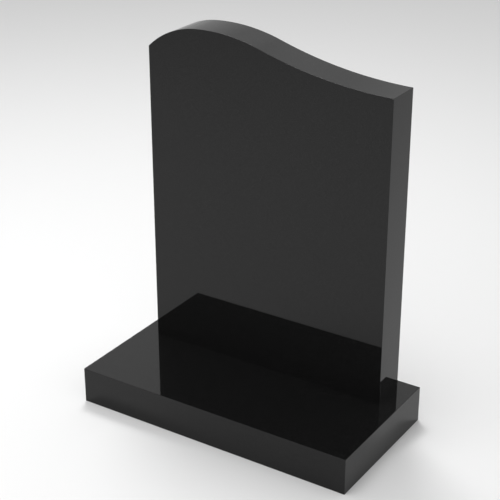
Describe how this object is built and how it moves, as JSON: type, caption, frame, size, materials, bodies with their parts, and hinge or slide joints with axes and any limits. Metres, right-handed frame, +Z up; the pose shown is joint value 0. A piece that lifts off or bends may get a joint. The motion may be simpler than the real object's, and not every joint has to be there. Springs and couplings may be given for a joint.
{
  "type": "headstone",
  "caption": "Polished black granite headstone with a half-ogee top, standing near the back of a rectangular base slab with a wide front ledge.",
  "frame": {"origin": "middle of the base's underside, at ground level", "axes": "+X to the right seen from the front, -Y towards the front, where the ledge and the inscription face are, +Z up"},
  "size_m": [0.6096, 0.3048, 0.7623],
  "materials": {
    "polished_black_granite": "mirror polished all over, fine dark grain, sawn underside"
  },
  "bodies": {
    "root": {"base": "polished_black_granite", "headstone": "polished_black_granite"}
  },
  "joints": []
}
